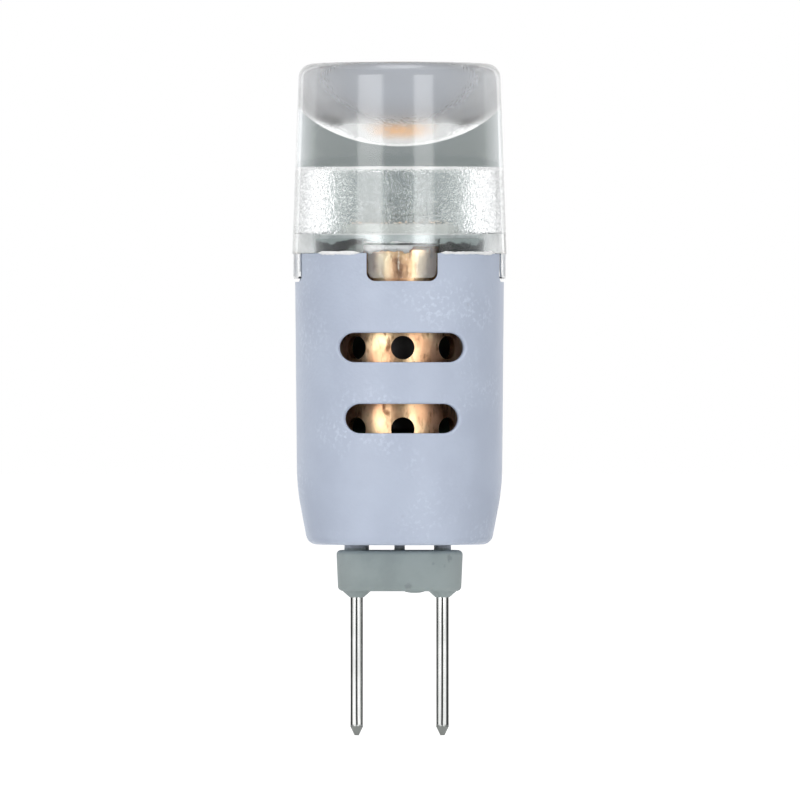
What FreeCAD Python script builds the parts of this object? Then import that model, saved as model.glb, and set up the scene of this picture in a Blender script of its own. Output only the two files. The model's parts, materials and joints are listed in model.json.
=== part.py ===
# Two-pin LED capsule lamp: a clear optic clipped to a moulded sleeve, over a copper heat sink and a driver.
# Sizes are in millimetres and angles in degrees.
# The origin is on the lamp's axis, level with the noses of the base block, where the contact pins come out.
# +Z points towards the light, the pins stand side by side along X, and the lamp's front faces -Y.
import FreeCAD, Part
import math
import os
import re

import Sketcher
from FreeCAD import Placement, Rotation, Vector

SIZES = {
    # Contact pins, on the 4 mm spacing of the small two-pin lampholder
    "pin_spacing": 4.0,
    "pin_radius": 0.3,
    "pin_tail_side": 0.42,
    "pin_reach": 6.43,
    "pin_tip_length": 0.4,
    "pin_tip_radius": 0.1,
    "pin_lap": 1.6,
    # Base block cast round the pins, with a nose under each pin and posts into the sleeve's floor
    "block_width": 5.72,
    "block_depth": 3.6,
    "block_corner": 1.3,
    "block_underside": 0.3,
    "block_rise": 1.9,
    "block_draft": 2.3,
    "block_soft_edge": 0.2,
    "block_foot_edge": 0.22,
    "nose_height": 0.44,
    "nose_root_radius": 0.83,
    "nose_tip_radius": 0.33,
    "drip_offset": 0.7,
    "drip_half_width": 0.48,
    "drip_sag": 0.1,
    "left_post_radius": 0.58,
    "middle_post_radius": 0.25,
    "right_post_radius": 0.4,
    "post_taper": 0.04,
    "cast_gap": 0.01,
    "post_gap": 0.03,
    # Moulded sleeve
    "sleeve_lift": 0.27,
    "sleeve_length": 13.53,
    "sleeve_foot_radius": 4.28,
    "sleeve_foot_bend": 0.5,
    "sleeve_knee_rise": 2.63,
    "sleeve_knee_radius": 4.78,
    "sleeve_knee_bend": 10.0,
    "sleeve_rim_radius": 4.88,
    "sleeve_wall": 1.2,
    "sleeve_floor": 1.03,
    # Air slots through the sleeve's front and back
    "upper_slot_drop": 4.37,
    "slot_pitch": 3.29,
    "slot_height": 1.36,
    "upper_slot_width": 5.72,
    "lower_slot_width": 5.2,
    "slot_soft_edge": 0.12,
    # Clips of the optic and their notches in the sleeve's rim
    "clip_width": 3.16,
    "clip_depth": 1.15,
    "clip_proud": 0.07,
    "clip_corner": 0.32,
    "clip_gap": 0.07,
    "notch_floor_gap": 0.15,
    "notch_corner": 0.4,
    # Copper heat sink: a drawn cup, open end down, with two rows of vents
    "can_radius": 3.0,
    "can_wall": 0.3,
    "can_seat": 0.3,
    "can_proud": 0.3,
    "can_bend": 0.22,
    "can_turn": 1.4,
    "vent_radius": 0.55,
    "vent_pitch": 3.78,
    "vents_per_row": 8,
    "seat_gap": 0.03,
    # Thermal glue and aluminium LED board
    "glue_radius": 2.92,
    "glue_thickness": 0.15,
    "led_board_radius": 3.72,
    "led_board_thickness": 0.45,
    # Dark seal under and round the LED board, open at the four notches but for a thin web
    "seal_radius": 3.95,
    "seal_inner_radius": 3.2,
    "seal_web": 0.09,
    "seal_lip": 0.22,
    # The LED built up on its board
    "dam_width": 5.0,
    "dam_depth": 3.5,
    "dam_wall": 0.3,
    "dam_height": 0.42,
    "dam_corner": 0.6,
    "phosphor_height": 0.36,
    "die_side": 0.6,
    "die_height": 0.12,
    "die_pitch": 1.5,
    "die_row_pitch": 1.2,
    # Clear optic: bored out over the LED, with a bowl sunk in its top
    "optic_overhang": 0.12,
    "optic_taper": 0.31,
    "optic_top_bend": 0.65,
    "board_gap": 0.05,
    "hollow_radius": 3.35,
    "hollow_height": 3.1,
    "optic_web": 0.95,
    "bowl_radius": 3.75,
    "bowl_depth": 3.92,
    "bowl_soft_edge": 0.08,
    # Driver board, upright behind the pins
    "driver_side_gap": 0.16,
    "driver_thickness": 0.6,
    "driver_lift": 0.5,
    "driver_headroom": 1.4,
    "solder_skin": 0.02,
    # Solder on the pins and on the lead wires
    "pin_solder_radius": 0.46,
    "pin_solder_length": 1.0,
    "pin_solder_inset": 0.3,
    "lead_solder_root": 0.34,
    "lead_solder_tip": 0.24,
    "lead_solder_height": 0.3,
    # Lead wires from the driver board up to the LED board
    "lead_radius": 0.14,
    "lead_spacing": 1.6,
    "lead_back": 2.2,
    "lead_bend": 0.5,
    "lead_drop": 1.2,
    "lead_stub": 0.12,
    "lead_gap": 0.11,
    # Parts on the driver board: across, up and off it, and the share of its length where each sits
    "bridge_across": 2.9,
    "bridge_up": 1.3,
    "bridge_off": 1.0,
    "bridge_share": 0.24,
    "chip_across": 2.9,
    "chip_up": 1.6,
    "chip_off": 1.1,
    "chip_share": 0.44,
    "leg_across": 0.35,
    "leg_up": 0.4,
    "leg_off": 0.15,
    "coil_radius": 1.5,
    "coil_flange": 0.35,
    "coil_height": 1.5,
    "coil_core_radius": 0.7,
    "coil_winding_inset": 0.12,
    "coil_gap": 0.02,
    "coil_share": 0.74,
    "input_capacitor_share": 0.12,
    "output_capacitor_share": 0.66,
    "capacitor_across": 2.0,
    "capacitor_up": 1.25,
    "capacitor_off": 1.0,
    "diode_across": 1.7,
    "diode_up": 1.2,
    "diode_off": 0.9,
    "diode_share": 0.31,
    "resistor_across": 1.6,
    "resistor_up": 0.8,
    "resistor_off": 0.45,
    "resistor_share": 0.48,
    "cap_across": 0.35,
    "cap_lip": 0.03,
}

# Heights of the stack, each built on the one below it
BLOCK_TOP = "(block_underside + block_rise)"
SLEEVE_FOOT = f"({BLOCK_TOP} + sleeve_lift)"
FLOOR_TOP = f"({SLEEVE_FOOT} + sleeve_floor)"
RIM = f"({SLEEVE_FOOT} + sleeve_length)"
UPPER_SLOT = f"({RIM} - upper_slot_drop)"
LOWER_SLOT = f"({UPPER_SLOT} - slot_pitch)"
CAN_FOOT = f"({FLOOR_TOP} - can_seat)"
CAN_TOP = f"({RIM} + can_proud)"
LED_BOARD_FOOT = f"({CAN_TOP} + glue_thickness)"
LED_BOARD_TOP = f"({LED_BOARD_FOOT} + led_board_thickness)"
CEILING = f"({LED_BOARD_TOP} + hollow_height)"
OPTIC_TOP = f"({CEILING} + optic_web + bowl_depth)"
DRIVER_FOOT = f"({FLOOR_TOP} + driver_lift)"
DRIVER_LENGTH = f"({CAN_TOP} - can_wall - driver_headroom - {DRIVER_FOOT})"
DRIVER_TOP = f"({DRIVER_FOOT} + {DRIVER_LENGTH})"

# Other places that several sub-parts share
BORE = "(sleeve_rim_radius - sleeve_wall)"
CAN_BORE = "(can_radius - can_wall)"
PIN_OFFSET = "(pin_spacing / 2)"
DRIVER_FRONT = "(pin_tail_side / 2 + solder_skin)"
DRIVER_BACK = f"({DRIVER_FRONT} + driver_thickness)"
DRIVER_WIDTH = f"(2 * sqrt({CAN_BORE}^2 - {DRIVER_BACK}^2) - 2 * driver_side_gap)"
LEAD_FOOT = f"({DRIVER_TOP} - lead_drop)"
LEAD_TOP = f"({LED_BOARD_TOP} + lead_solder_height + lead_stub)"
COIL_HEIGHT = f"({DRIVER_FOOT} + coil_share * {DRIVER_LENGTH})"
SIDES = {"left": "-", "right": ""}
POSTS = {"left": f"-{PIN_OFFSET}", "middle": "0", "right": PIN_OFFSET}
QUADRANTS = (("-", "-"), ("", "-"), ("-", ""), ("", ""))
BACKWARDS = Rotation(Vector(1, 0, 0), -90)

NEAR = 1e-4
OUT_OF_REACH = "(2 * sleeve_rim_radius)"

doc = FreeCAD.newDocument("capsule_lamp")


def fill_sheet():
    """The sheet of driving sizes, one named cell to a row."""
    sheet = doc.addObject("Spreadsheet::Sheet", "sizes")
    for row, (name, value) in enumerate(SIZES.items(), start=1):
        sheet.set(f"A{row}", name)
        sheet.set(f"B{row}", str(value))
        sheet.setAlias(f"B{row}", name)
    doc.recompute()
    return sheet


sheet = fill_sheet()


def from_sheet(text):
    """An expression in which each size is read from the sheet."""
    return re.sub(r"[a-z_]+", lambda word: f"sizes.{word[0]}" if word[0] in SIZES else word[0], text)


def size(text):
    """What an expression comes to now, to find edges by and to start each sketch at its solution."""
    return float(sheet.evalExpression(from_sheet(text)))


def drive(thing, path, text):
    """Binds a property to an expression."""
    thing.setExpression(path, from_sheet(text))


def new_body(label):
    """An empty body under the name of its sub-part."""
    body = doc.addObject("PartDesign::Body", label)
    body.Label = label
    return body


def new_sketch(body, name, plane, height="0"):
    """A sketch on one of the body's own origin planes, moved off it by a height."""
    sketch = body.newObject("Sketcher::SketchObject", name)
    origin = next(feature for feature in body.Origin.OriginFeatures if feature.Role == plane)
    sketch.AttachmentSupport = [(origin, "")]
    sketch.MapMode = "FlatFace"
    drive(sketch, "AttachmentOffset.Base.z", height)
    return sketch


def place_point(sketch, edge, end, across, up):
    """Holds one point of a sketch at two expressions, or on an axis where one of them is 0."""
    for kind, text, axis in (("DistanceX", across, -2), ("DistanceY", up, -1)):
        if text == "0":
            sketch.addConstraint(Sketcher.Constraint("PointOnObject", edge, end, axis))
        else:
            row = sketch.addConstraint(Sketcher.Constraint(kind, -1, 1, edge, end, size(text)))
            drive(sketch, f"Constraints[{row}]", text)


def add_outline(sketch, corners):
    """A closed outline of straight lines through corners that are given as expressions, across and up."""
    points = [Vector(size(across), size(up), 0) for across, up in corners]
    lines = [sketch.addGeometry(Part.LineSegment(*ends)) for ends in zip(points, points[1:] + points[:1])]
    for line, following in zip(lines, lines[1:] + lines[:1]):
        sketch.addConstraint(Sketcher.Constraint("Coincident", line, 2, following, 1))
    for line, (across, up) in zip(lines, corners):
        place_point(sketch, line, 1, across, up)


def add_circle(sketch, across, up, radius):
    """A circle at two expressions, with its radius from a third."""
    centre = Vector(size(across), size(up), 0)
    circle = sketch.addGeometry(Part.Circle(centre, Vector(0, 0, 1), size(radius)))
    place_point(sketch, circle, 3, across, up)
    row = sketch.addConstraint(Sketcher.Constraint("Radius", circle, size(radius)))
    drive(sketch, f"Constraints[{row}]", radius)


def rectangle(left, right, bottom, top):
    """The corners of an upright rectangle."""
    return [(left, bottom), (right, bottom), (right, top), (left, top)]


def square(across, side):
    """The corners of a square whose centre is on the sketch's level axis."""
    return rectangle(f"{across} - {side} / 2", f"{across} + {side} / 2", f"-{side} / 2", f"{side} / 2")


def turn(body, name, corners, kind="Revolution"):
    """A solid, or with Groove a cut, that is turned about the body's Z axis from a half section."""
    sketch = new_sketch(body, name + "Section", "XZ_Plane")
    add_outline(sketch, corners)
    turned = body.newObject("PartDesign::" + kind, name)
    turned.Profile = sketch
    turned.ReferenceAxis = (sketch, ["V_Axis"])
    turned.Angle = 360
    return turned


def pad(body, name, sketch, length, draft="0"):
    """A pad that rises from its sketch."""
    raised = body.newObject("PartDesign::Pad", name)
    raised.Profile = sketch
    drive(raised, "Length", length)
    drive(raised, "TaperAngle", draft)
    return raised


def pocket(body, name, sketch, both_ways=False):
    """A pocket right through, down from its sketch, or to both sides of it."""
    before = body.Tip
    doc.recompute()
    volume = before.Shape.Volume
    cut = body.newObject("PartDesign::Pocket", name)
    cut.Profile = sketch
    cut.SideType = "Symmetric" if both_ways else "One side"
    cut.Type = "ThroughAll"
    doc.recompute()
    if cut.Shape.Volume > volume - NEAR:
        raise RuntimeError(f"{name} cuts nothing")
    return cut


def add_cone(body, name, foot, radii, height):
    """A cone added to a body, from the centre of its foot and its radii at foot and top."""
    cone = body.newObject("PartDesign::AdditiveCone", name)
    drive(cone, "Radius1", radii[0])
    drive(cone, "Radius2", radii[1])
    drive(cone, "Height", height)
    return move(cone, foot)


def around_axis(body, name, feature, spread, copies):
    """Copies of a feature about the lamp's axis, spread over an angle."""
    pattern = body.newObject("PartDesign::PolarPattern", name)
    pattern.Originals = [feature]
    pattern.Axis = (feature.Profile[0], ["V_Axis" if is_upright(feature.Profile[0]) else "N_Axis"])
    drive(pattern, "Angle", spread)
    drive(pattern, "Occurrences", copies)
    body.Tip = pattern
    doc.recompute()
    return pattern


def is_upright(sketch):
    """Whether a sketch stands along the lamp's axis."""
    return sketch.AttachmentSupport[0][0].Role != "XY_Plane"


def soften(body, name, radius, test):
    """A fillet on the tip's edges that pass a test."""
    doc.recompute()
    tip = body.Tip
    solid = heights(tip.Shape)
    names = []
    for n, edge in enumerate(tip.Shape.Edges, start=1):
        if not edge.Degenerated and test(edge, solid):
            names.append(f"Edge{n}")
    if not names:
        raise RuntimeError(f"{name} finds no edge")
    fillet = body.newObject("PartDesign::Fillet", name)
    fillet.Base = (tip, names)
    drive(fillet, "Radius", radius)
    doc.recompute()
    return fillet


def is_round(edge):
    """Whether an edge is an arc or a circle."""
    return isinstance(edge.Curve, Part.Circle)


def heights(shape):
    """The lowest and highest corner of an edge or a solid."""
    corners = [vertex.Z for vertex in shape.Vertexes]
    return min(corners), max(corners)


def rise(edge):
    """How far apart in height the ends of an edge are."""
    low, high = heights(edge)
    return high - low


def is_level_line(edge):
    """Whether an edge is straight and keeps one height."""
    return isinstance(edge.Curve, Part.Line) and rise(edge) < NEAR


def distance_out(edge):
    """How far the nearest end of an edge is from the body's Z axis."""
    return min(Vector(vertex.X, vertex.Y, 0).Length for vertex in edge.Vertexes)


def is_at_top(edge, solid):
    """Whether an edge lies in the highest plane of its solid."""
    return heights(edge)[0] > solid[1] - NEAR


def is_at_foot(edge, solid):
    """Whether an edge lies in the lowest plane of its solid."""
    return heights(edge)[1] < solid[0] + NEAR


def move(thing, place, rotation=None):
    """Places an object by three expressions, turned first where a rotation is given."""
    if rotation:
        thing.Placement = Placement(Vector(), rotation)
    for axis, text in zip("xyz", place):
        drive(thing, f"Placement.Base.{axis}", text)
    return thing


def box(name, corner, spans):
    """A block from its lowest corner and its spans along X, Y and Z."""
    block = doc.addObject("Part::Box", name)
    for side, text in zip(("Length", "Width", "Height"), spans):
        drive(block, side, text)
    return move(block, corner)


def rod(name, foot, radius, length, rotation=None):
    """A round rod from the centre of its foot, upright unless it is turned."""
    cylinder = doc.addObject("Part::Cylinder", name)
    drive(cylinder, "Radius", radius)
    drive(cylinder, "Height", length)
    return move(cylinder, foot, rotation)


def joined(name, pieces):
    """One solid from pieces that run into each other."""
    fuse = doc.addObject("Part::MultiFuse", name)
    fuse.Shapes = pieces
    return fuse


def cut_away(name, base, tool):
    """A solid less another one."""
    cut = doc.addObject("Part::Cut", name)
    cut.Base = base
    cut.Tool = tool
    return cut


def label(thing, name):
    """Gives a sub-part the name of its node."""
    thing.Label = name
    return thing


def make_pin(side):
    """A round contact pin with a tapered tip and a square tail that can't turn in the block."""
    body = new_body(f"pin_{side}")
    turn(body, f"Pin{side.title()}Rod", [
        ("0", "-pin_reach"),
        ("pin_tip_radius", "-pin_reach"),
        ("pin_radius", "pin_tip_length - pin_reach"),
        ("pin_radius", "0"),
        ("0", "0"),
    ])
    tail = new_sketch(body, f"Pin{side.title()}TailPlan", "XY_Plane")
    add_outline(tail, square("0", "pin_tail_side"))
    pad(body, f"Pin{side.title()}Tail", tail, f"{DRIVER_FOOT} + pin_lap")
    return move(body, (SIDES[side] + PIN_OFFSET, "0", "0"))


def make_base_block():
    """The block cast round the pins: drafted sides, a rounded foot, a nose per pin, a drip and posts."""
    body = new_body("base_block")
    plan = new_sketch(body, "BlockPlan", "XY_Plane", "block_underside")
    add_outline(plan, rectangle("-block_width / 2", "block_width / 2", "-block_depth / 2", "block_depth / 2"))
    pad(body, "Block", plan, "block_rise", "block_draft")
    soften(body, "BlockCorners", "block_corner", lambda edge, solid: rise(edge) > solid[1] - solid[0] - NEAR)
    soften(body, "BlockTopEdge", "block_soft_edge", is_at_top)
    soften(body, "BlockFootEdge", "block_foot_edge", is_at_foot)
    for side, sign in SIDES.items():
        add_cone(body, f"Nose{side.title()}", (sign + PIN_OFFSET, "0", "0"),
                 ("nose_tip_radius", "nose_root_radius"), "nose_height")
    drip = body.newObject("PartDesign::AdditiveEllipsoid", "Drip")
    drive(drip, "Radius1", "drip_sag")
    drive(drip, "Radius2", "drip_half_width")
    drive(drip, "Radius3", "drip_half_width")
    move(drip, ("drip_offset", "0", "block_underside"))
    for name, across in POSTS.items():
        radius = f"{name}_post_radius"
        add_cone(body, f"Post{name.title()}", (across, "0", BLOCK_TOP),
                 (radius, f"{radius} - post_taper"), f"{FLOOR_TOP} - {BLOCK_TOP}")
    holes = new_sketch(body, "PinHolePlan", "XY_Plane", FLOOR_TOP)
    for sign in SIDES.values():
        add_outline(holes, square(sign + PIN_OFFSET, "(pin_tail_side + 2 * cast_gap)"))
    pocket(body, "PinHoles", holes)
    return body


def make_sleeve():
    """The moulded sleeve: a tapered cup with clip notches in its rim and air slots front and back."""
    body = new_body("sleeve")
    turn(body, "SleeveCup", [
        ("0", SLEEVE_FOOT),
        ("sleeve_foot_radius", SLEEVE_FOOT),
        ("sleeve_knee_radius", f"{SLEEVE_FOOT} + sleeve_knee_rise"),
        ("sleeve_rim_radius", RIM),
        (BORE, RIM),
        (BORE, FLOOR_TOP),
        ("0", FLOOR_TOP),
    ])
    bore = size(BORE)
    soften(body, "Knee", "sleeve_knee_bend",
           lambda edge, solid: is_round(edge) and distance_out(edge) > bore + NEAR
           and not is_at_top(edge, solid) and not is_at_foot(edge, solid))
    soften(body, "FootEdge", "sleeve_foot_bend", is_at_foot)
    turn(body, "CanSeat", rectangle(
        f"{CAN_BORE} - seat_gap", "can_radius + seat_gap", CAN_FOOT, FLOOR_TOP), "Groove")
    holes = new_sketch(body, "PostHolePlan", "XY_Plane", FLOOR_TOP)
    for name, across in POSTS.items():
        add_circle(holes, across, "0", f"{name}_post_radius + post_gap")
    pocket(body, "PostHoles", holes)
    notch = new_sketch(body, "NotchFace", "XZ_Plane")
    add_outline(notch, rectangle(
        "-clip_width / 2 - clip_gap", "clip_width / 2 + clip_gap",
        f"{RIM} - clip_depth - notch_floor_gap", f"{RIM} + clip_depth"))
    around_axis(body, "Notches", pocket(body, "Notch", notch, both_ways=True), "90", "2")
    soften(body, "NotchCorners", "notch_corner",
           lambda edge, solid: is_level_line(edge) and not is_at_top(edge, solid))
    slots = new_sketch(body, "SlotFaces", "XZ_Plane")
    add_slot(slots, UPPER_SLOT, "upper_slot_width")
    add_slot(slots, LOWER_SLOT, "lower_slot_width")
    pocket(body, "Slots", slots, both_ways=True)
    middle_of_wall = size(f"{BORE} + sleeve_wall / 2")
    lowest = size(f"{LOWER_SLOT} - slot_height")
    highest = size(f"{UPPER_SLOT} + slot_height")
    soften(body, "SlotEdges", "slot_soft_edge",
           lambda edge, solid: distance_out(edge) > middle_of_wall
           and heights(edge)[0] > lowest and heights(edge)[1] < highest)
    return body


def add_slot(sketch, up, width):
    """A level slot with full-round ends, centred on the sketch's upright axis."""
    half = size("slot_height / 2")
    centres = [Vector(sign * (size(width + " / 2") - half), size(up), 0) for sign in (-1, 1)]
    quarter = math.radians(90)
    circles = [Part.Circle(centre, Vector(0, 0, 1), half) for centre in centres]
    left = sketch.addGeometry(Part.ArcOfCircle(circles[0], quarter, 3 * quarter))
    right = sketch.addGeometry(Part.ArcOfCircle(circles[1], -quarter, quarter))
    rise_to_edge = Vector(0, half, 0)
    top = sketch.addGeometry(Part.LineSegment(centres[1] + rise_to_edge, centres[0] + rise_to_edge))
    bottom = sketch.addGeometry(Part.LineSegment(centres[0] - rise_to_edge, centres[1] - rise_to_edge))
    for first, second in ((right, top), (top, left), (left, bottom), (bottom, right)):
        sketch.addConstraint(Sketcher.Constraint("Tangent", first, 2, second, 1))
    sketch.addConstraint(Sketcher.Constraint("Horizontal", top))
    sketch.addConstraint(Sketcher.Constraint("Equal", left, right))
    place_point(sketch, right, 3, f"({width} - slot_height) / 2", up)
    for kind, points, text in (
            ("DistanceX", (left, 3, right, 3), f"{width} - slot_height"),
            ("Radius", (right,), "slot_height / 2")):
        row = sketch.addConstraint(Sketcher.Constraint(kind, *points, size(text)))
        drive(sketch, f"Constraints[{row}]", text)


def make_heat_sink():
    """The copper cup over the driver, open end down, with vents and two lead holes in its lid."""
    body = new_body("heat_sink")
    turn(body, "Cup", [
        (CAN_BORE, CAN_FOOT),
        ("can_radius", CAN_FOOT),
        ("can_radius", CAN_TOP),
        ("0", CAN_TOP),
        ("0", f"{CAN_TOP} - can_wall"),
        (CAN_BORE, f"{CAN_TOP} - can_wall"),
    ])
    soften(body, "LidEdge", "can_bend", is_at_top)
    vents = new_sketch(body, "VentFaces", "XZ_Plane")
    add_circle(vents, "0", UPPER_SLOT, "vent_radius")
    add_circle(vents, "0", f"{UPPER_SLOT} - vent_pitch", "vent_radius")
    pair = pocket(body, "VentPair", vents, both_ways=True)
    around_axis(body, "Vents", pair, "180 - 360 / vents_per_row", "vents_per_row / 2")
    leads = new_sketch(body, "LeadHolePlan", "XY_Plane", CAN_TOP)
    add_lead_holes(leads, "lead_radius + lead_gap")
    pocket(body, "LeadHoles", leads)
    drive(body, "Placement.Rotation.Angle", "can_turn")
    return body


def add_lead_holes(sketch, radius):
    """The two holes that the lead wires come up through."""
    for sign in SIDES.values():
        add_circle(sketch, sign + "lead_spacing / 2", "lead_back", radius)


def make_plate(name, foot, radius, thickness, lead_hole):
    """A round plate on the heat sink, with holes for the two lead wires."""
    body = new_body(name)
    title = name.title().replace("_", "")
    plan = new_sketch(body, title + "Plan", "XY_Plane", foot)
    add_circle(plan, "0", "0", radius)
    pad(body, title + "Disc", plan, thickness)
    holes = new_sketch(body, title + "Holes", "XY_Plane", f"{foot} + {thickness}")
    add_lead_holes(holes, lead_hole)
    pocket(body, title + "LeadHoles", holes)
    return body


def make_board_seal():
    """The seal between the sleeve's rim and the LED board, with a lip round the board's edge."""
    body = new_body("board_seal")
    bed_edge = "(led_board_radius + board_gap)"
    turn(body, "SealRing", [
        ("seal_inner_radius", RIM),
        ("seal_radius", RIM),
        ("seal_radius", f"{LED_BOARD_FOOT} + seal_lip"),
        (bed_edge, f"{LED_BOARD_FOOT} + seal_lip"),
        (bed_edge, LED_BOARD_FOOT),
        ("seal_inner_radius", LED_BOARD_FOOT),
    ])
    for name, low, high in (("UnderWeb", f"{RIM} - clip_depth", f"{LED_BOARD_FOOT} - seal_web"),
                            ("OverWeb", LED_BOARD_FOOT, LED_BOARD_TOP)):
        gap = new_sketch(body, name + "Face", "XZ_Plane")
        add_outline(gap, rectangle(
            "-clip_width / 2 - clip_gap", "clip_width / 2 + clip_gap", low, high))
        around_axis(body, name + "Gaps", pocket(body, name, gap, both_ways=True), "90", "2")
    return body


def make_led_dam():
    """The rounded rectangular wall on the LED board that holds the phosphor in."""
    body = new_body("led_dam")
    plan = new_sketch(body, "DamPlan", "XY_Plane", LED_BOARD_TOP)
    add_outline(plan, rectangle("-dam_width / 2", "dam_width / 2", "-dam_depth / 2", "dam_depth / 2"))
    pad(body, "Dam", plan, "dam_height")
    soften(body, "DamCorners", "dam_corner", lambda edge, solid: rise(edge) > NEAR)
    window = new_sketch(body, "WindowPlan", "XY_Plane", f"{LED_BOARD_TOP} + dam_height")
    add_outline(window, rectangle(
        "dam_wall - dam_width / 2", "dam_width / 2 - dam_wall",
        "dam_wall - dam_depth / 2", "dam_depth / 2 - dam_wall"))
    pocket(body, "Window", window)
    return body


def make_led_die(name, across, back):
    """One of the four LED dies that stand on the board inside the dam."""
    return label(box(name.title().replace("_", ""), (
        f"{across}die_pitch / 2 - die_side / 2", f"{back}die_row_pitch / 2 - die_side / 2", LED_BOARD_TOP),
        ("die_side", "die_side", "die_height")), name)


def make_led_phosphor():
    """The phosphor that fills the dam and covers the dies."""
    fill = box("PhosphorFill", ("dam_wall - dam_width / 2", "dam_wall - dam_depth / 2", LED_BOARD_TOP),
               ("dam_width - 2 * dam_wall", "dam_depth - 2 * dam_wall", "phosphor_height"))
    dies = [make_led_die(f"die_space_{n}", *signs) for n, signs in enumerate(QUADRANTS, start=1)]
    return label(cut_away("Phosphor", fill, joined("DieSpaces", dies)), "led_phosphor")


def make_optic():
    """The clear optic: a bowl in its top, a bore over the LED, a step on the LED board, and four clips."""
    body = new_body("optic")
    foot_radius = "(sleeve_rim_radius + optic_overhang)"
    board_bore = "(seal_radius + board_gap)"
    turn(body, "OpticBlank", [
        (board_bore, RIM),
        (foot_radius, RIM),
        (f"{foot_radius} - optic_taper", OPTIC_TOP),
        ("0", OPTIC_TOP),
        ("0", CEILING),
        ("hollow_radius", CEILING),
        ("hollow_radius", LED_BOARD_TOP),
        (board_bore, LED_BOARD_TOP),
    ])
    soften(body, "TopBend", "optic_top_bend", is_at_top)
    bowl = body.newObject("PartDesign::SubtractiveEllipsoid", "Bowl")
    drive(bowl, "Radius1", "bowl_depth")
    drive(bowl, "Radius2", "bowl_radius")
    drive(bowl, "Radius3", "bowl_radius")
    move(bowl, ("0", "0", OPTIC_TOP))
    doc.recompute()
    rim_radius = size("bowl_radius") + NEAR
    soften(body, "BowlEdge", "bowl_soft_edge",
           lambda edge, solid: is_at_top(edge, solid) and distance_out(edge) < rim_radius)
    add_clips(body, foot_radius)
    return body


def add_clips(body, foot_radius):
    """The four clips under the optic's foot: a ring with straight-sided quarters cut out of it."""
    ring = new_sketch(body, "ClipRingPlan", "XY_Plane", f"{RIM} - clip_depth")
    add_circle(ring, "0", "0", "sleeve_rim_radius + clip_proud")
    add_circle(ring, "0", "0", f"{BORE} + board_gap")
    pad(body, "ClipRing", ring, "clip_depth")
    quarter = new_sketch(body, "ClipGapPlan", "XY_Plane", RIM)
    add_outline(quarter, rectangle("clip_width / 2", OUT_OF_REACH, "clip_width / 2", OUT_OF_REACH))
    around_axis(body, "ClipGaps", pocket(body, "ClipGap", quarter), "360", "4")
    soften(body, "ClipCorners", "clip_corner",
           lambda edge, solid: is_level_line(edge) and is_at_foot(edge, solid))


def make_driver_board():
    """The driver board, upright behind the pins and as wide as the heat sink's bore lets it be."""
    return label(box("DriverBoard", (f"-{DRIVER_WIDTH} / 2", DRIVER_FRONT, DRIVER_FOOT),
                     (DRIVER_WIDTH, "driver_thickness", DRIVER_LENGTH)), "driver_board")


def board_height(share, up):
    """The foot of a part that is centred on a share of the driver board's length."""
    return f"({DRIVER_FOOT} + {share} * {DRIVER_LENGTH} - {up} / 2)"


def make_chip(name, leg_places):
    """A black chip on the board's front, on legs that reach out to its left and right."""
    title = name.title().replace("_", "")
    kind = name.split("_")[-1]
    across, up, off = (f"{kind}_{way}" for way in ("across", "up", "off"))
    foot = board_height(f"{kind}_share", up)
    pieces = [box(title + "Case", (f"-{across} / 2", f"{DRIVER_FRONT} - {off}", foot),
                  (across, f"{off} - leg_off / 2", up))]
    for n, (left, share) in enumerate(leg_places, start=1):
        corner = f"-{across} / 2 - leg_across" if left else f"{across} / 2 - leg_across"
        height = f"{foot} + {share} * ({up} - leg_up)"
        pieces.append(box(f"{title}Leg{n}", (corner, f"{DRIVER_FRONT} - leg_off", height),
                          ("2 * leg_across", "leg_off", "leg_up")))
    return label(joined(title, pieces), name)


def make_end_capped(name, kind, share):
    """A small block on the board's back, between two metal end caps."""
    title = name.title().replace("_", "")
    across, up, off = (f"{kind}_{way}" for way in ("across", "up", "off"))
    foot = board_height(share, up)
    pieces = [box(title + "Block", (f"-{across} / 2", f"{DRIVER_BACK} + cap_lip", foot),
                  (across, f"{off} - 2 * cap_lip", up))]
    for side, corner in (("Left", f"-{across} / 2"), ("Right", f"{across} / 2 - cap_across")):
        pieces.append(box(f"{title}{side}Cap", (corner, DRIVER_BACK, f"{foot} - cap_lip"),
                          ("cap_across", off, f"{up} + 2 * cap_lip")))
    return label(joined(title, pieces), name)


def make_coil_core():
    """The coil's ferrite drum, its axis square to the board."""
    stand = ("0", f"{DRIVER_FRONT} - coil_height", COIL_HEIGHT)
    on_board = ("0", f"{DRIVER_FRONT} - coil_flange", COIL_HEIGHT)
    return label(joined("CoilCore", [
        rod("CoilPost", stand, "coil_core_radius", "coil_height", BACKWARDS),
        rod("CoilFrontFlange", stand, "coil_radius", "coil_flange", BACKWARDS),
        rod("CoilBackFlange", on_board, "coil_radius", "coil_flange", BACKWARDS),
    ]), "coil_core")


def make_coil_winding():
    """The wire wound on the drum between its flanges."""
    front = ("0", f"{DRIVER_FRONT} - coil_height + coil_flange + coil_gap", COIL_HEIGHT)
    length = "coil_height - 2 * coil_flange - 2 * coil_gap"
    return label(cut_away(
        "CoilWinding",
        rod("WindingTurns", front, "coil_radius - coil_winding_inset", length, BACKWARDS),
        rod("WindingSpace", front, "coil_core_radius + coil_gap", length, BACKWARDS)), "coil_winding")


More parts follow.
